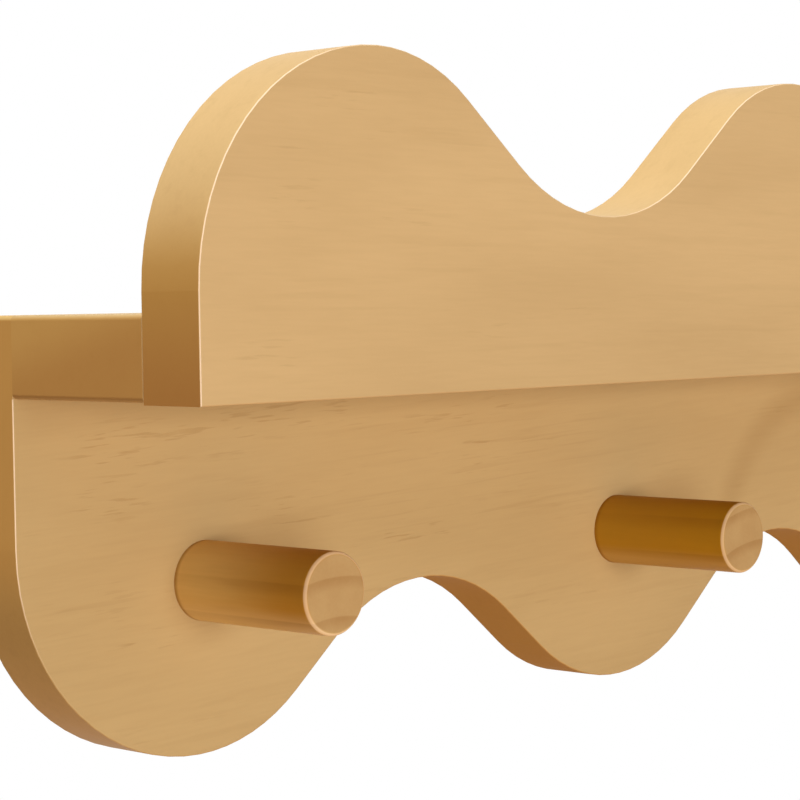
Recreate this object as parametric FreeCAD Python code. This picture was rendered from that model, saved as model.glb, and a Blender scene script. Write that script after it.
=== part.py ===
import FreeCAD, Part
import math
import os

# Wall shelf in solid pine. A wavy board stands up in front as a lip, a shelf board lies behind it,
# and a second wavy board hangs below the shelf against the wall and carries a row of turned pegs.
# All lengths are in millimetres.
#
# Frame: +X runs along the shelf, to the right as seen from the room, with X = 0 at its middle.
# +Y points at the wall, which is the plane Y = 0. +Z is up, and Z = 0 is the height of the two
# wall screws while the shelf hangs on them.

# Boards
shelf_length = 600.0
front_thickness = 19.0
shelf_thickness = 19.2
shelf_depth = 46.0
back_thickness = 17.0
edge_round = 0.4
shelf_end_round = 1.2

# Wavy top edge of the front board, measured up from its straight bottom edge
front_crest_height = 79.5
front_trough_height = 42.0
front_below_shelf = 0.5
front_steepness_share = 0.59
front_crest_radius_share = 0.475

# Wavy bottom edge of the back board, measured down from the underside of the shelf
lobe_below_shelf = 90.0
notch_below_shelf = 53.5
back_steepness_share = 0.635
back_lobe_radius_share = 0.505

# Both waves: how many crests, and how far the outer crest stands from the board's end
crest_count = 4
end_to_crest = 55.0

# Turned pegs with a glued tenon
peg_count = 4
end_to_peg = 57.5
peg_below_shelf = 47.0
peg_diameter = 20.0
peg_reach = 46.0
peg_edge_round = 1.0
tenon_diameter = 12.0
tenon_length = 11.5

# Blind dowels that join the shelf board to the front board
dowel_count = 5
end_to_dowel = 40.0
dowel_diameter = 8.0
dowel_length = 30.0
dowel_in_front_board = 10.5
dowel_chamfer = 1.0

# Countersunk screws that hold the shelf board from behind, above the pegs
shelf_screw_length = 40.0
shelf_screw_diameter = 4.5
shelf_screw_head = 9.0
shelf_screw_drive = 4.6

# Keyhole plates, one near each end, let in flush at the back
end_to_plate = 97.0
plate_below_shelf = 2.0
plate_length = 38.0
plate_width = 16.0
plate_thickness = 2.0
plate_screw_inset = 4.2
keyhole_entry_diameter = 9.6
keyhole_slot_width = 5.0
keyhole_travel = 9.5
keyhole_entry_offset = 4.5
head_pocket_width = 12.0
head_pocket_depth = 7.0

# Countersunk screws that hold the keyhole plates
plate_screw_length = 11.0
plate_screw_diameter = 2.8
plate_screw_head = 5.6
plate_screw_drive = 3.0

# Details that all screws share, in shares of the screw's own head or shank
head_sink = 0.2
drive_width_share = 0.2
drive_depth_share = 0.3
screw_point_share = 1.6

# Clearances, the overrun of every cut, and the gap below which two points count as one
glue_clearance = 0.1
screw_clearance = 0.1
plate_clearance = 0.2
hole_end_clearance = 0.5
cut_overrun = 5.0
same_point = 0.001

# Places along Y, from the wall forward
back_front_y = -back_thickness
front_back_y = back_front_y - shelf_depth
front_front_y = front_back_y - front_thickness

# Places along Z, from the wall screws outward
plate_centre_z = keyhole_entry_offset - keyhole_travel
shelf_bottom_z = plate_centre_z + plate_length / 2 + plate_below_shelf
shelf_top_z = shelf_bottom_z + shelf_thickness
shelf_middle_z = (shelf_bottom_z + shelf_top_z) / 2
front_bottom_z = shelf_bottom_z - front_below_shelf
peg_z = shelf_bottom_z - peg_below_shelf
half_length = shelf_length / 2

V = FreeCAD.Vector
TO_ROOM = V(0, -1, 0)
TO_WALL = V(0, 1, 0)


def spread(count, end_distance):
    """X places of count things spread evenly, the outer two end_distance from the shelf's ends."""
    first = end_distance - half_length
    pitch = -2 * first / (count - 1)
    return [first + index * pitch for index in range(count)]


def bar(diameter, length, x, y, z, direction):
    """Round bar that starts at a point and runs along a direction."""
    return Part.makeCylinder(diameter / 2, length, V(x, y, z), direction)


def wave_slope(half_pitch, height, steepness_share):
    """Slope angle of the straight flanks, and the crest and trough radii added together.

    The share says where the slope lies between a zigzag, at 0, and arcs that meet, at 1.
    """
    angle = (1 + steepness_share) * math.atan2(height, half_pitch)
    run = half_pitch * math.sin(angle) - height * math.cos(angle)
    return angle, run / (1 - math.cos(angle))


def wavy_board(front_y, thickness, base_z, up, crest, trough, steepness_share, crest_share, corner):
    """Board with a straight edge at base_z and a wavy one that reaches crest and trough from it.

    up is 1 where the wave is above the straight edge and -1 where it is below. corner rounds the
    two corners of the straight edge.
    """
    crests = spread(crest_count, end_to_crest)
    half_pitch = (crests[1] - crests[0]) / 2
    slope, radii = wave_slope(half_pitch, crest - trough, steepness_share)
    crest_radius = crest_share * radii
    trough_radius = radii - crest_radius
    quarter = math.pi / 2
    edges = []

    def point(x, reach):
        return V(x, front_y, base_z + up * reach)

    def add_line(start, end):
        if start.distanceToPoint(end) > same_point:
            edges.append(Part.LineSegment(start, end).toShape())

    def add_arc(x, reach, radius, start, end):
        points = []
        for angle in (start, (start + end) / 2, end):
            points.append(point(x + radius * math.cos(angle), reach + radius * math.sin(angle)))
        if edges:
            add_line(edges[-1].lastVertex().Point, points[0])
        edges.append(Part.Arc(*points).toShape())

    add_arc(crests[0], crest - end_to_crest, end_to_crest, 2 * quarter, quarter)
    for index, x in enumerate(crests):
        start = quarter + (slope if index > 0 else 0)
        last = index == crest_count - 1
        end = quarter - (0 if last else slope)
        add_arc(x, crest - crest_radius, crest_radius, start, end)
        if not last:
            start, end = -quarter - slope, slope - quarter
            add_arc(x + half_pitch, trough + trough_radius, trough_radius, start, end)
    add_arc(crests[-1], crest - end_to_crest, end_to_crest, quarter, 0)
    if corner:
        add_arc(half_length - corner, corner, corner, 0, -quarter)
        add_arc(corner - half_length, corner, corner, -quarter, -2 * quarter)
    else:
        add_line(edges[-1].lastVertex().Point, point(half_length, 0))
        add_line(edges[-1].lastVertex().Point, point(-half_length, 0))
    add_line(edges[-1].lastVertex().Point, edges[0].firstVertex().Point)
    return Part.Face(Part.Wire(edges)).extrude(TO_WALL * thickness)


def ease_faces(board, radius):
    """Rounds every edge round the front and the back face of a board, as sanding does."""
    low, high = board.BoundBox.YMin, board.BoundBox.YMax
    rims = []
    for edge in board.Edges:
        box = edge.BoundBox
        if min(box.YMax - low, high - box.YMin) < radius / 2:
            rims.append(edge)
    return board.makeFillet(radius, rims)


def turned(points, x, y, z):
    """Solid of revolution about a line towards the room, from (radius, distance) points.

    A point may be a pair of pairs: the middle and the end of an arc.
    """
    edges = []
    previous = V(points[0][0], 0, points[0][1])
    for item in points[1:]:
        if isinstance(item[0], tuple):
            middle = V(item[0][0], 0, item[0][1])
            end = V(item[1][0], 0, item[1][1])
            edges.append(Part.Arc(previous, middle, end).toShape())
        else:
            end = V(item[0], 0, item[1])
            edges.append(Part.LineSegment(previous, end).toShape())
        previous = end
    edges.append(Part.LineSegment(previous, V(points[0][0], 0, points[0][1])).toShape())
    solid = Part.Face(Part.Wire(edges)).revolve(V(0, 0, 0), V(0, 0, 1), 360)
    solid.rotate(V(0, 0, 0), V(1, 0, 0), 90)
    solid.translate(V(x, y, z))
    return solid


def peg(x):
    """Straight round peg with an eased end and a thinner tenon behind its shoulder."""
    radius = peg_diameter / 2
    corner = peg_edge_round * math.sqrt(0.5)
    points = [
        (0, -tenon_length),
        (tenon_diameter / 2 - dowel_chamfer, -tenon_length),
        (tenon_diameter / 2, dowel_chamfer - tenon_length),
        (tenon_diameter / 2, 0),
        (radius, 0),
        (radius, peg_reach - peg_edge_round),
        ((radius - peg_edge_round + corner, peg_reach - peg_edge_round + corner),
         (radius - peg_edge_round, peg_reach)),
        (0, peg_reach),
    ]
    return turned(points, x, back_front_y, peg_z)


def dowel(x):
    """Joint dowel with chamfered ends, part in the front board and part in the shelf board."""
    radius = dowel_diameter / 2
    points = [
        (0, 0),
        (radius - dowel_chamfer, 0),
        (radius, dowel_chamfer),
        (radius, dowel_length - dowel_chamfer),
        (radius - dowel_chamfer, dowel_length),
        (0, dowel_length),
    ]
    back_end = front_back_y - dowel_in_front_board + dowel_length
    return turned(points, x, back_end, shelf_middle_z)


def countersunk_screw(x, y, z, length, diameter, head, drive):
    """Screw with a flat countersunk head at y, pointing at the room, with a cross recess."""
    radius = diameter / 2
    cone = (head - diameter) / 2
    tip = screw_point_share * diameter
    points = [
        (0, 0),
        (head / 2, 0),
        (radius, cone),
        (radius, length - tip),
        (0, length),
    ]
    screw = turned(points, x, y, z)
    wide = drive / 2
    narrow = drive * drive_width_share / 2
    depth = head * drive_depth_share
    for half_x, half_z in ((wide, narrow), (narrow, wide)):
        corner = V(x - half_x, y - depth, z - half_z)
        screw = screw.cut(Part.makeBox(2 * half_x, depth + cut_overrun, 2 * half_z, corner))
    return screw


def countersunk_hole(x, y, z, length, diameter, head, clearance):
    """Space that a countersunk screw needs, open past the surface behind its head."""
    radius = diameter / 2 + clearance
    cone = (head - diameter) / 2
    points = [
        (0, -cut_overrun),
        (head / 2 + clearance, -cut_overrun),
        (head / 2 + clearance, clearance),
        (radius, cone + clearance),
        (radius, length + hole_end_clearance),
        (0, length + hole_end_clearance),
    ]
    return turned(points, x, y, z)


def obround(x, y, z_low, z_high, width, depth):
    """Upright slot shape, z_low and z_high at its round ends' centres, as deep as given."""
    radius = width / 2
    left, right = x - radius, x + radius
    edges = [
        Part.LineSegment(V(right, y, z_low), V(right, y, z_high)).toShape(),
        Part.Arc(V(right, y, z_high), V(x, y, z_high + radius), V(left, y, z_high)).toShape(),
        Part.LineSegment(V(left, y, z_high), V(left, y, z_low)).toShape(),
        Part.Arc(V(left, y, z_low), V(x, y, z_low - radius), V(right, y, z_low)).toShape(),
    ]
    return Part.Face(Part.Wire(edges)).extrude(TO_ROOM * depth)


# Places of the pieces that repeat
peg_places = spread(peg_count, end_to_peg)
dowel_places = spread(dowel_count, end_to_dowel)
plate_sides = ("left", "right")
plate_places = dict(zip(plate_sides, spread(len(plate_sides), end_to_plate)))
entry_z = -keyhole_travel
plate_screw_reach = plate_length / 2 - plate_screw_inset
plate_screw_places = []
for plate_x in plate_places.values():
    for plate_screw_z in (plate_centre_z - plate_screw_reach, plate_centre_z + plate_screw_reach):
        plate_screw_places.append((plate_x, plate_screw_z))


def shelf_screw(x, shape, *extra):
    """Shelf screw, or the hole for it, at one place along the shelf."""
    sizes = (shelf_screw_length, shelf_screw_diameter, shelf_screw_head)
    return shape(x, -head_sink, shelf_middle_z, *sizes, *extra)


def plate_screw(place, shape, *extra):
    """Plate screw, or the hole for it, at one place on the back."""
    sizes = (plate_screw_length, plate_screw_diameter, plate_screw_head)
    return shape(place[0], -head_sink, place[1], *sizes, *extra)


def make_front_board():
    """Lip with the wavy top edge and blind dowel holes in its back."""
    board = wavy_board(front_front_y, front_thickness, front_bottom_z, 1, front_crest_height,
                       front_trough_height, front_steepness_share, front_crest_radius_share, 0)
    board = ease_faces(board, edge_round)
    hole_depth = dowel_in_front_board + hole_end_clearance
    holes = []
    for x in dowel_places:
        holes.append(bar(dowel_diameter + 2 * glue_clearance, hole_depth + cut_overrun,
                         x, front_back_y + cut_overrun, shelf_middle_z, TO_ROOM))
    return board.cut(holes)


def make_shelf_board():
    """Shelf board between the two wavy boards, its ends rounded over at the top and the bottom."""
    corner = V(-half_length, front_back_y, shelf_bottom_z)
    board = Part.makeBox(shelf_length, shelf_depth, shelf_thickness, corner)
    end_edges = []
    for edge in board.Edges:
        box = edge.BoundBox
        if box.XMax - box.XMin < edge_round and box.ZMax - box.ZMin < edge_round:
            end_edges.append(edge)
    board = board.makeFillet(shelf_end_round, end_edges)
    hole_depth = dowel_length - dowel_in_front_board + hole_end_clearance
    holes = []
    for x in dowel_places:
        holes.append(bar(dowel_diameter + 2 * glue_clearance, hole_depth + cut_overrun,
                         x, front_back_y - cut_overrun, shelf_middle_z, TO_WALL))
    for x in peg_places:
        holes.append(shelf_screw(x, countersunk_hole, screw_clearance))
    return board.cut(holes)


def make_back_board():
    """Board against the wall, with the wavy bottom edge, peg sockets and the plates' recesses."""
    below_top = shelf_thickness
    plain = wavy_board(back_front_y, back_thickness, shelf_top_z, -1, lobe_below_shelf + below_top,
                       notch_below_shelf + below_top, back_steepness_share, back_lobe_radius_share,
                       shelf_end_round)
    # The front edges stay square beside the shelf board, which is glued flush there.
    beside_shelf = Part.makeBox(shelf_length, back_thickness / 2, shelf_thickness,
                                V(-half_length, back_front_y, shelf_bottom_z))
    board = ease_faces(plain, edge_round).fuse(plain.common(beside_shelf)).removeSplitter()
    holes = []
    socket_depth = tenon_length + hole_end_clearance
    for x in peg_places:
        holes.append(bar(tenon_diameter + 2 * glue_clearance, socket_depth + cut_overrun,
                         x, back_front_y - cut_overrun, peg_z, TO_WALL))
        holes.append(shelf_screw(x, countersunk_hole, screw_clearance))
    end_reach = (plate_length - plate_width) / 2
    for x in plate_places.values():
        low, high = plate_centre_z - end_reach, plate_centre_z + end_reach
        width = plate_width + 2 * plate_clearance
        holes.append(obround(x, cut_overrun, low, high, width, plate_thickness + cut_overrun))
        pocket_depth = plate_thickness + head_pocket_depth
        holes.append(obround(x, cut_overrun, entry_z, 0, head_pocket_width, pocket_depth + cut_overrun))
    for place in plate_screw_places:
        holes.append(plate_screw(place, countersunk_hole, screw_clearance))
    return board.cut(holes)


def make_keyhole_plate(x):
    """Steel plate with a round entry, a slot above it for the wall screw, and two fixing holes."""
    end_reach = (plate_length - plate_width) / 2
    low, high = plate_centre_z - end_reach, plate_centre_z + end_reach
    plate = obround(x, 0, low, high, plate_width, plate_thickness)
    through = plate_thickness + 2 * cut_overrun
    holes = [
        bar(keyhole_entry_diameter, through, x, cut_overrun, entry_z, TO_ROOM),
        obround(x, cut_overrun, entry_z, 0, keyhole_slot_width, through),
    ]
    for place in plate_screw_places:
        if place[0] == x:
            holes.append(plate_screw(place, countersunk_hole, screw_clearance))
    return plate.cut(holes)


nodes = {
    "front_board": make_front_board(),
    "shelf_board": make_shelf_board(),
    "back_board": make_back_board(),
    "lip_dowels": Part.makeCompound([dowel(x) for x in dowel_places]),
    "shelf_screws": Part.makeCompound(
        [shelf_screw(x, countersunk_screw, shelf_screw_drive) for x in peg_places]),
    "plate_screws": Part.makeCompound(
        [plate_screw(place, countersunk_screw, plate_screw_drive) for place in plate_screw_places]),
}
for number, x in enumerate(peg_places, start=1):
    nodes[f"peg_{number}"] = peg(x)
for side, x in plate_places.items():
    nodes[f"keyhole_plate_{side}"] = make_keyhole_plate(x)

os.makedirs("parts", exist_ok=True)
for name, shape in nodes.items():
    shape.exportStep(f"parts/{name}.step")
    box = shape.optimalBoundingBox(False, False)
    print(f"{name}: {len(shape.Solids)} solids, {shape.Volume / 1000:.1f} cm3, valid {shape.isValid()}, "
          f"X {box.XMin:.1f} to {box.XMax:.1f}, Y {box.YMin:.1f} to {box.YMax:.1f}, "
          f"Z {box.ZMin:.1f} to {box.ZMax:.1f}")
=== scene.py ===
import bpy
import math
from collections import namedtuple
from mathutils import Matrix, Vector


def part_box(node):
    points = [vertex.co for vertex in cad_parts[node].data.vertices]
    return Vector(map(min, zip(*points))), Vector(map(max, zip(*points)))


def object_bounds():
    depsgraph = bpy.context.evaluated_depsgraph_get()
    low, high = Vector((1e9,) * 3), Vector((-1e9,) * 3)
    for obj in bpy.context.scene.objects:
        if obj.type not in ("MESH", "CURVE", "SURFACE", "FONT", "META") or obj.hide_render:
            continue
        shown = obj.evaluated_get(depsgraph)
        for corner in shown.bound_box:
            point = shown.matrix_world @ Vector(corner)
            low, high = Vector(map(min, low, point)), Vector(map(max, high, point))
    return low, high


# Wall shelf in lacquered pine: a wavy lip, a shelf board, a wavy back board and four round pegs.
# The solids come from the frame and keep their shape. This script gives every piece the finish of
# the real one, and adds a pale floor, soft light and the camera.

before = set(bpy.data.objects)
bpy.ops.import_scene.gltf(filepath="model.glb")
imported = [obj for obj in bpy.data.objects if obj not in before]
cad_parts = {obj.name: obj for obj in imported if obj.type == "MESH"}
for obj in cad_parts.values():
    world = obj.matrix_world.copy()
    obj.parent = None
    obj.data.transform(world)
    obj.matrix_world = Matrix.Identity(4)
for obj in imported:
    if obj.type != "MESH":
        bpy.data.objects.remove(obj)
cad_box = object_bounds()

MM = 0.001
X, Y, Z = 0, 1, 2

# Sockets of a Mix node for colours, which share their names with those for other kinds of value
SHARE, FIRST, SECOND, MIXED = 0, 6, 7, 2

# Camera, found from the edges and outlines in the picture: place and sensor in millimetres,
# angles in degrees, and the focal length in pixels of the square picture
PICTURE_SIDE = 800
FOCAL_LENGTH = 2418
SENSOR_WIDTH = 36
CAMERA_PLACE = Vector((-637.58, -464.32, 37.43))
CAMERA_YAW = 46.15
CAMERA_PITCH = 2.37
CAMERA_ROLL = -0.88

# Stage, in metres. The floor is a disc below the shelf. Near its middle the eye sees its paint and
# the shelf's shadow under a share of plain white, and further out plain white alone. The light
# that it gives back to the shelf is warm.
FLOOR_BELOW = 1.05
FLOOR_RADIUS = 4.5
FLOOR_CORNERS = 96
FLOOR_SHADED = 0.75
FLOOR_WHITE = 1.5
FLOOR_GLOW = 0.55
FLOOR_PAINT = "#F4F3F0"
FLOOR_BOUNCE = "#DAA463"

# Lamps: distance and size in metres, and for each its direction from the shelf and its level, the
# share of a facing surface's own colour that it brings out. The world gives the ambient level from
# all round.
LAMP_DISTANCE = 2.25
LAMP_SIZE = 0.6
LAMPS = {
    "front_light": ((-0.15, -1.0, 0.01), 0.5),
    "low_left_light": ((-0.6, -0.8, -0.03), 0.36),
    "overhead_light": ((-0.45, 0.15, 0.88), 1.06),
}
AMBIENT_LEVEL = 0.075

# Pine: sRGB colours of late wood, heartwood, end grain full of lacquer, which also gives the painted
# shade low on the ends, and an eased edge, paler where sanding has left the coat thin and also as a
# painted highlight, and how far heartwood darkens a face and the grain shows at an end
LATE_WOOD = "#94703F"
HEARTWOOD = "#8A6B3E"
DARK_END_AND_SHADE = "#A4713A"
EASED_EDGE_AND_HIGHLIGHT = "#F6DABB"
HEARTWOOD_DEPTH = 0.12
END_GRAIN_DEPTH = 0.5

# Lacquer: its shine, how much duller it dries on late wood and on end grain, and the relief of the
# grain that it follows, in millimetres
BOARD_GLOSS = 0.05
BOARD_ROUGHNESS = 0.45
PEG_GLOSS = 0.06
PEG_ROUGHNESS = 0.5
LATE_WOOD_DULLER = 0.15
END_GRAIN_DULLER = 0.3
RELIEF_STRENGTH = 0.3
RELIEF_HEIGHT = 0.1

# Where one finish goes over to the next as a surface turns, by the share of its normal along an
# axis. End grain fades by a power of that share, so a high one keeps it to the flat of the end.
NARROW_SIDE = (0.7, 0.3)
# Where the painted shade on surfaces that look down sets in, and where it is full
UNDERSIDE = (-0.05, -0.5)
BOARD_ARRIS = (0.82, 0.97)
PEG_ARRIS = (0.9, 0.995)
# Painted highlight on rounded edges: how it grows towards the ends of the fibre and where the edge looks
# up
HIGHLIGHT_ACROSS_FIBRE = (0.0, 0.4)
HIGHLIGHT_LOOKING_UP = (-0.4, 0.0)
BOARD_END_POWER = 26.0
ROUNDED_END_POWER = 3.0
PEG_END_POWER = 20.0

# Eased edges: how far they turn pale, partly from sanding and partly as a painted highlight, and the
# share of it that is left along the fibre
BOARD_EASED_AND_HIGHLIGHT = 0.85
BOARD_PALE_EDGE_ALONG_FIBRE = 0.35
PEG_EASED_AND_HIGHLIGHT = 0.4

# Grain patterns: size of a feature in millimetres, along the fibre and twice across it, the two
# noise values between which it comes up, how far it darkens the wood, and the noise's detail. Only
# a feature's core shows, so a resin duct comes out about 0.3 mm wide. A real one is 0.2 mm, which
# would be lost in the render.
Pattern = namedtuple("Pattern", "size shows depth detail", defaults=(1.0, 2.0))
CLOUDS = Pattern((100, 28.6, 28.6), (0.3, 0.7), 0.12)
FIBRES = Pattern((11.1, 0.833, 0.833), (0.3, 0.7), 0.04, 3.0)
STREAKS = Pattern((62.5, 2.86, 2.86), (0.52, 0.7), 0.05)
DUCTS = Pattern((12.5, 0.909, 0.909), (0.57, 0.68), 0.29)
LINES = Pattern((50, 1.25, 1.25), (0.57, 0.68), 0.11)
CLUSTERS = Pattern((50, 12.5, 12.5), (0.5, 0.7))
PEG_CLOUDS = Pattern((50, 8.33, 8.33), (0.3, 0.7), 0.12)

# A patch of marks fades out between these shares of its half size
PATCH_FADES = (0.5, 1.2)

# Painted shade on the end grain, darker lower down: the first two are heights above the board's
# lower edge in millimetres, where the shade is none and where it is full, and lean is how much
# higher it stands for each millimetre towards the front
EndShade = namedtuple("EndShade", "dry wet lean depth")

# Painted shade on the undersides: the first lobe's underside takes a share of its own. The change
# lies between these distances from the shelf's left end, in millimetres.
UNDERSIDE_SHADE_CHANGE = (35, 75)

# Arch where a ring is cut nearly flat: x and z of its middle, its radius and half the width of its
# band in millimetres, and how far it darkens the wood
Arch = namedtuple("Arch", "x z radius width depth")

# The boards, each with the sRGB colours of its broad sides, narrow sides and end grain, whose colour
# also gives the painted shade on undersides, and with the words of pine_board. A place is x, z,
# half length and half height in millimetres, found where the mark shows in the picture.
BOARDS = {
    "front_board": dict(
        face="#D4B27F", edge="#D5B27B", end="#BC8F4B",
        heart=(0, 20, 20), lean=(0, -0.8, 0.8), figure=0.38, strewn=0.2,
        ducts=[(-229, 35, 7, 2), (-208, 30, 10, 2.5), (-184, 34, 16, 2), (-236, 56, 10, 3),
               (-242, 74, 9, 2), (-254, 82, 12, 4), (-272, 64, 9, 12), (-280, 26, 12, 5)],
        lines=[(-250, 20, 30, 3)], heartwood=[(-170, 20, 100, 30)],
        end_shade=EndShade(dry=34.5, wet=-1.5, lean=0.0, depth=0.8), underside=(0.1, 0.1)),
    "shelf_board": dict(
        face="#CDAE7A", end="#C39755", end_power=ROUNDED_END_POWER,
        heart=(0, -30, -60), lean=(0, 1, 0), figure=0.55, strewn=0.4,
        ducts=[(-120, 35, 60, 30), (160, 35, 60, 30)],
        end_shade=EndShade(dry=12, wet=-4, lean=0.25, depth=0.5)),
    "back_board": dict(
        face="#C6A774", edge="#D2AD6C", end="#C0914F",
        heart=(0, 60, -20), lean=(0, 2.5, 0.6), figure=0.85, strewn=0.4,
        ducts=[(-266, 3, 22, 8), (-272, -9, 14, 6), (-236, 5, 18, 7), (-205, 8, 26, 6),
               (-212, -16, 16, 5), (-163, 4, 12, 3), (-146, 6, 14, 3), (-129, 8, 12, 3),
               (-147, -3, 14, 3), (-139, -9, 14, 3), (-166, -25, 18, 3), (-260, -44, 10, 3)],
        lines=[(-140, -8, 65, 26), (-278, -36, 16, 5)], heartwood=[(-130, -6, 240, 34)],
        arch=Arch(x=25, z=-50, radius=54.5, width=9, depth=0.22), underside=(0.0, 0.6)),
}

# The pegs, each with its colour near the board, paler there as painted bounce light, and at the tip,
# darker as painted shade under the shelf, the share of painted light on its lower side below its
# axis, and the tree's heart as x and z from that axis
Peg = namedtuple("Peg", "base tip sapwood heart")
PEGS = {
    1: Peg("#E1B86C", "#C68E32", 0.75, (0.9, -42.6)),
    2: Peg("#B78726", "#BC891F", 0.35, (9, -47.6)),
    3: Peg("#D6A85A", "#C48C3A", 0.55, (-30, -38)),
    4: Peg("#D8AA5C", "#C68E3C", 0.6, (14, -44)),
}
PEG_END = "#BF9B68"
# Colour of the painted light from below on a peg's lower side
PEG_PAINTED_LIGHT = "#E6C88C"
PEG_LATE_WOOD = "#8A5416"

# A peg's fibre runs along Y, so the grain's X axis is turned there, in degrees
PEG_LEAN = (0, 0, 90)

# Along and across a peg, in millimetres: where its painted shade under the shelf begins off the
# board and how far short of the tip it is darkest, the corner at the board, where painted contact
# shade darkens it, and the depths below the axis between which painted light from below comes in
PEG_DARKENS_OFF_BOARD = 7
PEG_DARKEST_OFF_TIP = 3
PEG_CORNER_SHADE = (1.6, 0.2)
PEG_CORNER_SHADE_DEPTH = 0.5
PEG_PAINTED_LIGHT_BELOW = (3, 8.5)

# Growth rings on a peg: their gap and how far they wander in millimetres, the shares of a ring
# between which it darkens and ends, and how deep late wood is, with more of it towards the tip
RING_GAP = 9.4
RING_WANDERS = 0.4
RING_WANDER_SIZE = (83.3, 33.3, 33.3)
RING_WANDER_DETAIL = 3.0
RING_DARKENS = (0.6, 0.94)
RING_ENDS = (0.95, 1.0)
RING_DEPTH = 0.1
RING_DEPTH_AT_TIP = 0.14

# Beech of the dowels, with flecks that run along the rod
DOWEL_WOOD = "#D9B48C"
DOWEL_FLECK = "#B88A5E"
DOWEL_ROUGHNESS = 0.65
FLECKS = Pattern((0.5, 3.33, 0.5), (0.4, 0.7), detail=3.0)

# Zinc plating: the metal and its duller clouds, which are wider on the sheet than on the screws,
# and fine marks of rubbing with their relief in millimetres
ZINC = "#C9CCD0"
ZINC_CLOUD = "#A9ADB3"
SCREW_ROUGHNESS = 0.35
SCREW_CLOUDS = Pattern((0.833, 0.833, 0.833), (0.35, 0.65))
SHEET_ROUGHNESS = 0.3
SHEET_CLOUDS = Pattern((2, 2, 2), (0.35, 0.65))
CLOUD_DULLER = 0.1
RUBBED = Pattern((3.33, 0.5, 0.167), (0.3, 0.7), detail=3.0)
RUBBED_DULLER = 0.08
RUBBED_STRENGTH = 0.2
RUBBED_HEIGHT = 0.02


def linear(hex_colour):
    """Linear RGBA of an sRGB hex colour such as "#D2A973"."""
    channels = []
    for start in (1, 3, 5):
        value = int(hex_colour[start:start + 2], 16) / 255
        channels.append(value / 12.92 if value <= 0.04045 else ((value + 0.055) / 1.055) ** 2.4)
    return (*channels, 1.0)


def add(tree, kind, inputs=(), output=0, **settings):
    """Adds a node with its settings and links, and gives one of its outputs.

    inputs holds plain values or other nodes' outputs, in the order of the sockets or by their names.
    """
    node = tree.nodes.new("ShaderNode" + kind)
    for name, value in settings.items():
        setattr(node, name, value)
    for socket, value in inputs.items() if isinstance(inputs, dict) else enumerate(inputs):
        if isinstance(value, bpy.types.NodeSocket):
            tree.links.new(value, node.inputs[socket])
        else:
            node.inputs[socket].default_value = value
    return node.outputs[output] if node.outputs else None


def new_material(name):
    """Empty material, and its node tree."""
    material = bpy.data.materials.new(name)
    material.use_nodes = True
    material.node_tree.nodes.clear()
    return material, material.node_tree


def finish_piece(name, material):
    """Gives a piece of the frame its finish."""
    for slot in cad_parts[name].material_slots:
        slot.material = material


def millimetres(tree):
    """Place in the frame, in millimetres."""
    place = add(tree, "TexCoord", output="Object")
    return add(tree, "VectorMath", {0: place, "Scale": 1 / MM}, operation="SCALE")


def grain_space(tree, heart, lean):
    """Place in millimetres from the tree's heart, leaning so that X runs along the fibre."""
    from_heart = add(tree, "VectorMath", (millimetres(tree), heart), operation="SUBTRACT")
    return add(tree, "Mapping", {"Vector": from_heart, "Rotation": [math.radians(a) for a in lean]})


def noise_of_size(tree, grain, size, detail):
    """Noise whose features have that size along each axis, in millimetres."""
    scale = [1 / length for length in size]
    stretched = add(tree, "VectorMath", (grain, scale), operation="MULTIPLY")
    return add(tree, "TexNoise", {"Vector": stretched, "Scale": 1.0, "Detail": detail})


def streaks(tree, grain, pattern):
    """A pattern of the grain: 0 where its noise is low and 1 where it is high."""
    noise = noise_of_size(tree, grain, pattern.size, pattern.detail)
    return add(tree, "MapRange", (noise, *pattern.shows), interpolation_type="SMOOTHSTEP")


def patches(tree, places):
    """1 in soft patches on a board's face, each given by x, z, half length and half height."""
    inside = 0.0
    for x, z, length, height in places:
        offset = add(tree, "VectorMath", (millimetres(tree), (x, 0, z)), operation="SUBTRACT")
        scaled = add(tree, "VectorMath", (offset, (1 / length, 0, 1 / height)), operation="MULTIPLY")
        away = add(tree, "VectorMath", (scaled,), "Value", operation="LENGTH")
        patch = add(tree, "MapRange", (away, *PATCH_FADES, 1.0, 0.0), interpolation_type="SMOOTHSTEP")
        inside = add(tree, "Math", (patch, inside), operation="MAXIMUM")
    return inside


def gathered(tree, grain, pattern, places, strewn):
    """A pattern that shows at given places on a board, and here and there beyond them."""
    clusters = streaks(tree, grain, CLUSTERS)
    where = add(tree, "Math", (clusters, strewn, patches(tree, places)), operation="MULTIPLY_ADD",
                use_clamp=True)
    return add(tree, "Math", (streaks(tree, grain, pattern), where), operation="MULTIPLY")


def grain_arch(tree, arch):
    """Soft band round the arch's middle, which fades to the right."""
    offset = add(tree, "VectorMath", (millimetres(tree), (arch.x, 0, arch.z)), operation="SUBTRACT")
    in_face = add(tree, "VectorMath", (offset, (1, 0, 1)), operation="MULTIPLY")
    distance = add(tree, "VectorMath", (in_face,), "Value", operation="LENGTH")
    beyond = add(tree, "Math", (distance, arch.radius), operation="SUBTRACT")
    away = add(tree, "Math", (beyond,), operation="ABSOLUTE")
    band = add(tree, "MapRange", (away, 0.0, arch.width, 1.0, 0.0), interpolation_type="SMOOTHSTEP")
    right = add(tree, "SeparateXYZ", (offset,), output=X)
    fade = add(tree, "MapRange", (right, 0.0, arch.radius, 1.0, 0.0), interpolation_type="SMOOTHSTEP")
    return add(tree, "Math", (band, fade), operation="MULTIPLY")


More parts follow.
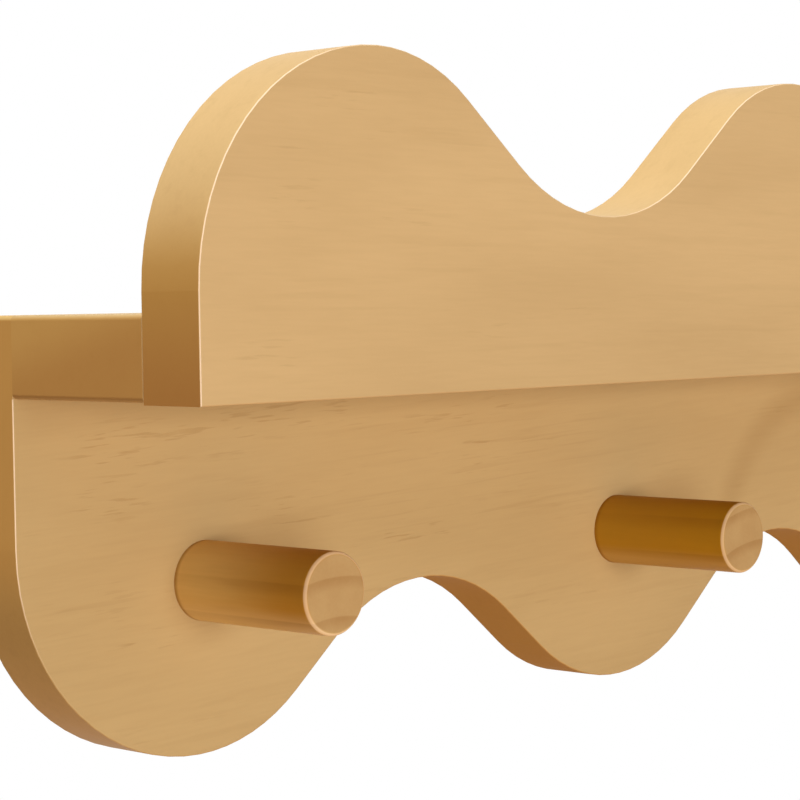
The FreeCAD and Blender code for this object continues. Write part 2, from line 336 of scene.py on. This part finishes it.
def growth_rings(tree, grain):
    """Rings of a peg: 0 in early wood, up to 1 in late wood, and then a sharp line."""
    across = add(tree, "VectorMath", (grain, (0, 1, 1)), operation="MULTIPLY")
    radius = add(tree, "VectorMath", (across,), "Value", operation="LENGTH")
    bend = noise_of_size(tree, grain, RING_WANDER_SIZE, RING_WANDER_DETAIL)
    radius = add(tree, "Math", (bend, RING_WANDERS, radius), operation="MULTIPLY_ADD")
    ring = add(tree, "Math", (radius, RING_GAP), operation="DIVIDE")
    through = add(tree, "Math", (ring,), operation="FRACT")
    darker = add(tree, "MapRange", (through, *RING_DARKENS), interpolation_type="SMOOTHSTEP")
    stop = add(tree, "MapRange", (through, *RING_ENDS, 1.0, 0.0), interpolation_type="SMOOTHSTEP")
    return add(tree, "Math", (darker, stop), operation="MULTIPLY")


def darkness(tree, marks):
    """How far each spot is late wood, from pairs of a depth and a pattern."""
    dark = 0.0
    for depth, pattern in marks:
        dark = add(tree, "Math", (pattern, depth, dark), operation="MULTIPLY_ADD", use_clamp=True)
    return dark


def looking(tree, axis):
    """How far a surface looks along an axis: 1 straight along it, 0 square to it and -1 back."""
    normal = add(tree, "TexCoord", output="Normal")
    return add(tree, "SeparateXYZ", (normal,), output=axis)


def facing(tree, axis):
    """How far a surface looks along an axis, in either direction."""
    return add(tree, "Math", (looking(tree, axis),), operation="ABSOLUTE")


def end_grain(tree, fibre, power):
    """1 where the surface faces along the fibre's axis, and soon 0 where it turns away."""
    return add(tree, "Math", (facing(tree, fibre), power), operation="POWER")


def painted_underside_shade(tree, first_lobe, other_lobes):
    """Painted shade on the undersides, by its share below the first lobe and below the other lobes."""
    under = add(tree, "MapRange", (looking(tree, Z), *UNDERSIDE), interpolation_type="SMOOTHSTEP")
    along = add(tree, "SeparateXYZ", (millimetres(tree),), output=X)
    change = [cad_box[0].x / MM + distance for distance in UNDERSIDE_SHADE_CHANGE]
    share = add(tree, "MapRange", (along, *change, first_lobe, other_lobes),
                interpolation_type="SMOOTHSTEP")
    return add(tree, "Math", (under, share), operation="MULTIPLY")


def painted_end_shade(tree, lower_edge, end_shade):
    """Painted shade on the end grain, darker lower down: 0 where there is none, and 1 where it is full.
    """
    place = add(tree, "SeparateXYZ", (millimetres(tree),)).node.outputs
    height = add(tree, "Math", (place[Y], end_shade.lean, place[Z]), operation="MULTIPLY_ADD")
    return add(tree, "MapRange", (height, lower_edge + end_shade.dry, lower_edge + end_shade.wet),
               interpolation_type="SMOOTHSTEP")


def narrow(tree):
    """1 on a board's narrow sides, which are planed last and take more lacquer, and 0 on the broad."""
    return add(tree, "MapRange", (facing(tree, Y), *NARROW_SIDE), interpolation_type="SMOOTHSTEP")


def arris(tree, fades):
    """1 on a rounded edge, which faces neither along Y, as the broad sides do, nor square to it."""
    along = facing(tree, Y)
    square = add(tree, "Math", (along, along), operation="MULTIPLY")
    rest = add(tree, "Math", (1.0, square), operation="SUBTRACT", use_clamp=True)
    rest = add(tree, "Math", (rest,), operation="SQRT")
    flat = add(tree, "Math", (along, rest), operation="MAXIMUM")
    return add(tree, "MapRange", (flat, *fades, 1.0, 0.0), interpolation_type="SMOOTHSTEP")


def eased_edges_and_highlight(tree):
    """A board's rounded edges, paler partly from sanding and partly as a painted highlight, which is
    strongest across the ends of the fibre and where they look up.
    """
    across = add(tree, "MapRange", (facing(tree, X), *HIGHLIGHT_ACROSS_FIBRE, BOARD_PALE_EDGE_ALONG_FIBRE, 1.0),
                 interpolation_type="SMOOTHSTEP")
    upward = add(tree, "MapRange", (looking(tree, Z), *HIGHLIGHT_LOOKING_UP),
                 interpolation_type="SMOOTHSTEP")
    share = add(tree, "Math", (across, upward), operation="MULTIPLY")
    eased_and_highlight = add(tree, "Math", (arris(tree, BOARD_ARRIS), share), operation="MULTIPLY")
    return add(tree, "Math", (eased_and_highlight, BOARD_EASED_AND_HIGHLIGHT), operation="MULTIPLY")


def lacquered(tree, colour, dark, end, gloss, roughness):
    """One thin coat of clear lacquer: it follows the grain's relief, and end grain drinks it dull."""
    height = add(tree, "Math", (1.0, dark), operation="SUBTRACT")
    bump = add(tree, "Bump", {
        "Height": height, "Strength": RELIEF_STRENGTH, "Distance": RELIEF_HEIGHT * MM})
    dull = add(tree, "Math", (dark, LATE_WOOD_DULLER, roughness), operation="MULTIPLY_ADD")
    dull = add(tree, "Math", (end, END_GRAIN_DULLER, dull), operation="MULTIPLY_ADD")
    shader = add(tree, "BsdfPrincipled", {
        "Base Color": colour, "Roughness": dull, "Specular IOR Level": gloss, "Normal": bump})
    add(tree, "OutputMaterial", {"Surface": shader})


def pine_board(name, face, end, heart, lean, figure, strewn, ducts, edge=None, lines=(),
               heartwood=(), arch=None, end_shade=None, underside=None, end_power=BOARD_END_POWER):
    """Pine board, planed and sanded, with one thin coat of clear satin lacquer.

    The eye sees a pale even face with faint streaks, short dark resin ducts that lie along the fibre
    in patches, end grain that has drunk the lacquer and turned amber, on some boards with painted
    shade that darkens it lower down, and a paler line on the edges, partly where sanding has thinned
    the coat and partly a painted highlight.

    heart is the tree's heart in millimetres, and lean the degrees by which the fibre leans about
    each axis. ducts, lines and heartwood hold places, figure is how strongly the ducts and lines
    show, and strewn the share of them beyond their places. underside is the share of painted shade,
    in the end colour, below the first lobe and below the others. A board with an edge colour has
    narrow sides of its own and rounded edges, paler partly from sanding and partly as a painted
    highlight.
    """
    material, tree = new_material(f"{name}_pine")
    grain = grain_space(tree, heart, lean)
    marks = [(pattern.depth, streaks(tree, grain, pattern)) for pattern in (CLOUDS, FIBRES, STREAKS)]
    for pattern, places in ((DUCTS, ducts), (LINES, lines)):
        marks.append((pattern.depth * figure, gathered(tree, grain, pattern, places, strewn)))
    if arch:
        marks.append((arch.depth, grain_arch(tree, arch)))
    dark = darkness(tree, marks)

    colour = linear(face)
    if edge:
        colour = add(tree, "Mix", {SHARE: narrow(tree), FIRST: colour, SECOND: linear(edge)},
                     MIXED, data_type="RGBA")
    if heartwood:
        older = add(tree, "Math", (patches(tree, heartwood), HEARTWOOD_DEPTH), operation="MULTIPLY")
        colour = add(tree, "Mix", {SHARE: older, FIRST: colour, SECOND: linear(HEARTWOOD)},
                     MIXED, data_type="RGBA")
    colour = add(tree, "Mix", {SHARE: dark, FIRST: colour, SECOND: linear(LATE_WOOD)},
                 MIXED, data_type="RGBA")

    ends = end_grain(tree, X, end_power)
    # Undersides take the end colour as painted shade
    if underside:
        ends = add(tree, "Math", (ends, painted_underside_shade(tree, *underside)), operation="MAXIMUM")
    end_marks = [(END_GRAIN_DEPTH, dark)]
    # Painted shade: the end grain turns darker lower down
    if end_shade:
        lower_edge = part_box(name)[0].z / MM
        end_marks.append((end_shade.depth, painted_end_shade(tree, lower_edge, end_shade)))
    end_dark = darkness(tree, end_marks)
    end_colour = add(tree, "Mix", {SHARE: end_dark, FIRST: linear(end), SECOND: linear(DARK_END_AND_SHADE)},
                     MIXED, data_type="RGBA")
    colour = add(tree, "Mix", {SHARE: ends, FIRST: colour, SECOND: end_colour},
                 MIXED, data_type="RGBA")
    # Rounded edges turn paler, partly from sanding and partly as a painted highlight
    if edge:
        colour = add(tree, "Mix", {SHARE: eased_edges_and_highlight(tree), FIRST: colour, SECOND: linear(EASED_EDGE_AND_HIGHLIGHT)},
                     MIXED, data_type="RGBA")
    lacquered(tree, colour, dark, ends, BOARD_GLOSS, BOARD_ROUGHNESS)
    return material


def pine_peg(number, peg):
    """Turned pine peg in a glossier clear lacquer.

    The eye sees amber wood that grows darker towards the tip as painted shade under the shelf, paler
    near the board as painted bounce light and paler on its lower side as painted light from below, a
    dark ring of painted contact shade where it meets the board, lines of late wood that run along the
    peg and cross its end, and a pale rim at the end, partly from sanding and partly a painted
    highlight.
    """
    material, tree = new_material(f"peg_pine_{number}")
    low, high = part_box(f"peg_{number}")
    middle = (low + high) / 2 / MM
    tip = low.y / MM
    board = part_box("back_board")[0].y / MM
    heart_x, heart_z = peg.heart
    grain = grain_space(tree, (middle.x + heart_x, 0, middle.z + heart_z), PEG_LEAN)
    place = add(tree, "SeparateXYZ", (millimetres(tree),)).node.outputs
    # Painted shade under the shelf, darker towards the tip, and painted bounce light, paler near the
    # board
    to_tip = add(tree, "MapRange", (place[Y], board - PEG_DARKENS_OFF_BOARD, tip + PEG_DARKEST_OFF_TIP),
                 interpolation_type="SMOOTHSTEP")
    # Painted contact shade in the corner where the peg meets the board
    corner = [board - distance for distance in PEG_CORNER_SHADE]
    rings = growth_rings(tree, grain)
    dark = darkness(tree, [
        (PEG_CLOUDS.depth, streaks(tree, grain, PEG_CLOUDS)),
        (FIBRES.depth, streaks(tree, grain, FIBRES)),
        (RING_DEPTH, rings),
        (RING_DEPTH_AT_TIP, add(tree, "Math", (rings, to_tip), operation="MULTIPLY")),
        (PEG_CORNER_SHADE_DEPTH, add(tree, "MapRange", (place[Y], *corner), interpolation_type="SMOOTHSTEP")),
    ])

    side = add(tree, "Mix", {SHARE: to_tip, FIRST: linear(peg.base), SECOND: linear(peg.tip)},
               MIXED, data_type="RGBA")
    # Painted light from below: paler on the peg's lower side
    pale = [middle.z - depth for depth in PEG_PAINTED_LIGHT_BELOW]
    below = add(tree, "MapRange", (place[Z], *pale, 0.0, peg.sapwood), interpolation_type="SMOOTHSTEP")
    side = add(tree, "Mix", {SHARE: below, FIRST: side, SECOND: linear(PEG_PAINTED_LIGHT)},
               MIXED, data_type="RGBA")
    side = add(tree, "Mix", {SHARE: dark, FIRST: side, SECOND: linear(PEG_LATE_WOOD)},
               MIXED, data_type="RGBA")

    ends = end_grain(tree, Y, PEG_END_POWER)
    end_colour = add(tree, "Mix", {SHARE: dark, FIRST: linear(PEG_END), SECOND: linear(PEG_LATE_WOOD)},
                     MIXED, data_type="RGBA")
    colour = add(tree, "Mix", {SHARE: ends, FIRST: side, SECOND: end_colour},
                 MIXED, data_type="RGBA")
    # Pale rim at the end, partly from sanding and partly a painted highlight
    eased_and_highlight = add(tree, "Math", (arris(tree, PEG_ARRIS), PEG_EASED_AND_HIGHLIGHT), operation="MULTIPLY")
    colour = add(tree, "Mix", {SHARE: eased_and_highlight, FIRST: colour, SECOND: linear(EASED_EDGE_AND_HIGHLIGHT)},
                 MIXED, data_type="RGBA")
    lacquered(tree, colour, dark, ends, PEG_GLOSS, PEG_ROUGHNESS)
    return material


def beech_dowel():
    """Rolled beech dowel, unfinished: pinkish tan with short fine flecks along the rod."""
    material, tree = new_material("dowel_beech")
    flecks = streaks(tree, millimetres(tree), FLECKS)
    colour = add(tree, "Mix", {SHARE: flecks, FIRST: linear(DOWEL_WOOD), SECOND: linear(DOWEL_FLECK)},
                 MIXED, data_type="RGBA")
    bump = add(tree, "Bump", {
        "Height": flecks, "Strength": RELIEF_STRENGTH, "Distance": RELIEF_HEIGHT * MM})
    shader = add(tree, "BsdfPrincipled", {
        "Base Color": colour, "Roughness": DOWEL_ROUGHNESS, "Normal": bump})
    add(tree, "OutputMaterial", {"Surface": shader})
    return material


def zinc_plated(name, roughness, pattern):
    """Zinc-plated steel: a bluish white metal with small dull clouds and faint rubbing marks."""
    material, tree = new_material(name)
    clouds = streaks(tree, millimetres(tree), pattern)
    rubbed = streaks(tree, millimetres(tree), RUBBED)
    colour = add(tree, "Mix", {SHARE: clouds, FIRST: linear(ZINC), SECOND: linear(ZINC_CLOUD)},
                 MIXED, data_type="RGBA")
    dull = add(tree, "Math", (clouds, CLOUD_DULLER, roughness), operation="MULTIPLY_ADD")
    dull = add(tree, "Math", (rubbed, RUBBED_DULLER, dull), operation="MULTIPLY_ADD")
    bump = add(tree, "Bump", {
        "Height": rubbed, "Strength": RUBBED_STRENGTH, "Distance": RUBBED_HEIGHT * MM})
    shader = add(tree, "BsdfPrincipled", {
        "Base Color": colour, "Metallic": 1.0, "Roughness": dull, "Normal": bump})
    add(tree, "OutputMaterial", {"Surface": shader})
    return material


def seen_directly(tree):
    """1 for rays of the camera, of a reflection and through glass, and 0 for light that is passed on."""
    path = add(tree, "LightPath").node.outputs
    mirrored = add(tree, "Math", (path["Is Camera Ray"], path["Is Glossy Ray"]), operation="MAXIMUM")
    return add(tree, "Math", (mirrored, path["Is Transmission Ray"]), operation="MAXIMUM")


def make_floor():
    """Round pale floor below the shelf, which takes its shadow and turns to plain white outwards."""
    low, high = cad_box
    bpy.ops.mesh.primitive_circle_add(vertices=FLOOR_CORNERS, radius=FLOOR_RADIUS, fill_type="NGON",
                                      location=(0, (low.y + high.y) / 2, low.z - FLOOR_BELOW))
    floor = bpy.context.object
    floor.name = "floor"
    material, tree = new_material("floor_white")
    place = add(tree, "TexCoord", output="Object")
    distance = add(tree, "VectorMath", (place,), "Value", operation="LENGTH")
    outwards = add(tree, "MapRange", (distance, FLOOR_SHADED, FLOOR_WHITE, FLOOR_GLOW, 1.0),
                   interpolation_type="SMOOTHSTEP")
    paint = add(tree, "BsdfDiffuse", {"Color": linear(FLOOR_PAINT)})
    white = add(tree, "Emission", {"Color": (1, 1, 1, 1), "Strength": 1.0})
    seen = add(tree, "MixShader", (outwards, paint, white))
    bounce = add(tree, "BsdfDiffuse", {"Color": linear(FLOOR_BOUNCE)})
    surface = add(tree, "MixShader", (seen_directly(tree), bounce, seen))
    add(tree, "OutputMaterial", {"Surface": surface})
    floor.data.materials.append(material)


def softbox(name, direction, level):
    """Square soft lamp that stands off the shelf's middle and gives a facing surface that level.

    At level 1, (pi times the distance) squared in watts, a matt surface shows its own colour.
    """
    centre = (cad_box[0] + cad_box[1]) / 2
    towards = Vector(direction).normalized()
    data = bpy.data.lights.new(name, "AREA")
    data.shape = "SQUARE"
    data.size = LAMP_SIZE
    data.energy = level * (math.pi * LAMP_DISTANCE) ** 2
    lamp = bpy.data.objects.new(name, data)
    lamp.location = centre + towards * LAMP_DISTANCE
    lamp.rotation_mode = "QUATERNION"
    lamp.rotation_quaternion = towards.to_track_quat("Z", "Y")
    bpy.context.collection.objects.link(lamp)


def make_light():
    """Soft lamps and a little even light from all round. The background shows white."""
    for name, (direction, level) in LAMPS.items():
        softbox(name, direction, level)
    world = bpy.data.worlds.new("studio")
    world.use_nodes = True
    tree = world.node_tree
    tree.nodes.clear()
    strength = add(tree, "MapRange", (seen_directly(tree), 0.0, 1.0, AMBIENT_LEVEL, 1.0))
    background = add(tree, "Background", {"Color": (1, 1, 1, 1), "Strength": strength})
    add(tree, "OutputWorld", {"Surface": background})
    bpy.context.scene.world = world


def make_camera():
    """Camera at the picture's viewing place."""
    yaw, pitch, roll = (math.radians(angle) for angle in (CAMERA_YAW, CAMERA_PITCH, CAMERA_ROLL))
    forward = Vector((math.sin(yaw) * math.cos(pitch), math.cos(yaw) * math.cos(pitch), -math.sin(pitch)))
    level = Vector((math.cos(yaw), -math.sin(yaw), 0))
    upright = level.cross(forward)
    right = math.cos(roll) * level + math.sin(roll) * upright
    up = math.cos(roll) * upright - math.sin(roll) * level
    data = bpy.data.cameras.new("camera")
    data.sensor_width = SENSOR_WIDTH
    data.lens = FOCAL_LENGTH / PICTURE_SIDE * SENSOR_WIDTH
    camera = bpy.data.objects.new("camera", data)
    turn = Matrix((right, up, -forward)).transposed().to_4x4()
    camera.matrix_world = Matrix.Translation(CAMERA_PLACE * MM) @ turn
    bpy.context.collection.objects.link(camera)
    bpy.context.scene.camera = camera


for name, wood in BOARDS.items():
    finish_piece(name, pine_board(name, **wood))
for number, peg in PEGS.items():
    finish_piece(f"peg_{number}", pine_peg(number, peg))
finish_piece("lip_dowels", beech_dowel())
screws = zinc_plated("zinc_screw", SCREW_ROUGHNESS, SCREW_CLOUDS)
plates = zinc_plated("keyhole_steel", SHEET_ROUGHNESS, SHEET_CLOUDS)
for name in ("shelf_screws", "plate_screws"):
    finish_piece(name, screws)
for name in ("keyhole_plate_left", "keyhole_plate_right"):
    finish_piece(name, plates)

make_floor()
make_light()
make_camera()
bpy.context.scene.view_settings.view_transform = "Standard"
